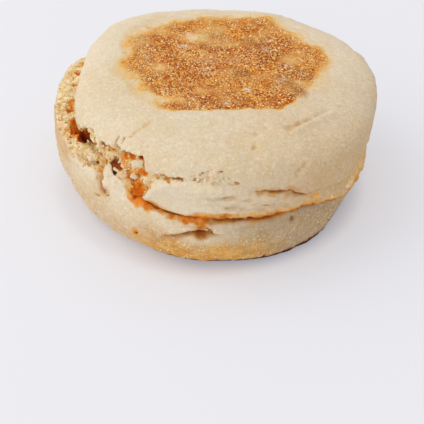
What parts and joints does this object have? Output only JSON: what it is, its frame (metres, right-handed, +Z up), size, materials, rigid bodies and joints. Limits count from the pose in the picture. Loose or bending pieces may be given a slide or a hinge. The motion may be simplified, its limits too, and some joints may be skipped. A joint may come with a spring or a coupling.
{
  "type": "english muffin",
  "caption": "Round flat griddled bread split by hand and toasted, its torn halves stacked again with the upper one shifted aside, resting flat on its browned base.",
  "frame": {"origin": "middle of the whole footprint, on the plane that the base stands on", "axes": "+Z up out of the base; -Y towards the torn front; +X towards the side that the upper half is shifted to"},
  "size_m": [0.0942, 0.09, 0.0387],
  "materials": {
    "heel_bread": "matte pale golden bread skin, a browned griddled base, and an open rough crumb face toasted orange-brown along its edges and pits",
    "crown_bread": "matte cream floury bread skin with an orange-brown griddled patch full of pale grains on top, a torn front and toasted lower edges"
  },
  "bodies": {
    "root": {"bottom_half": "heel_bread", "top_half": "crown_bread"}
  },
  "joints": []
}
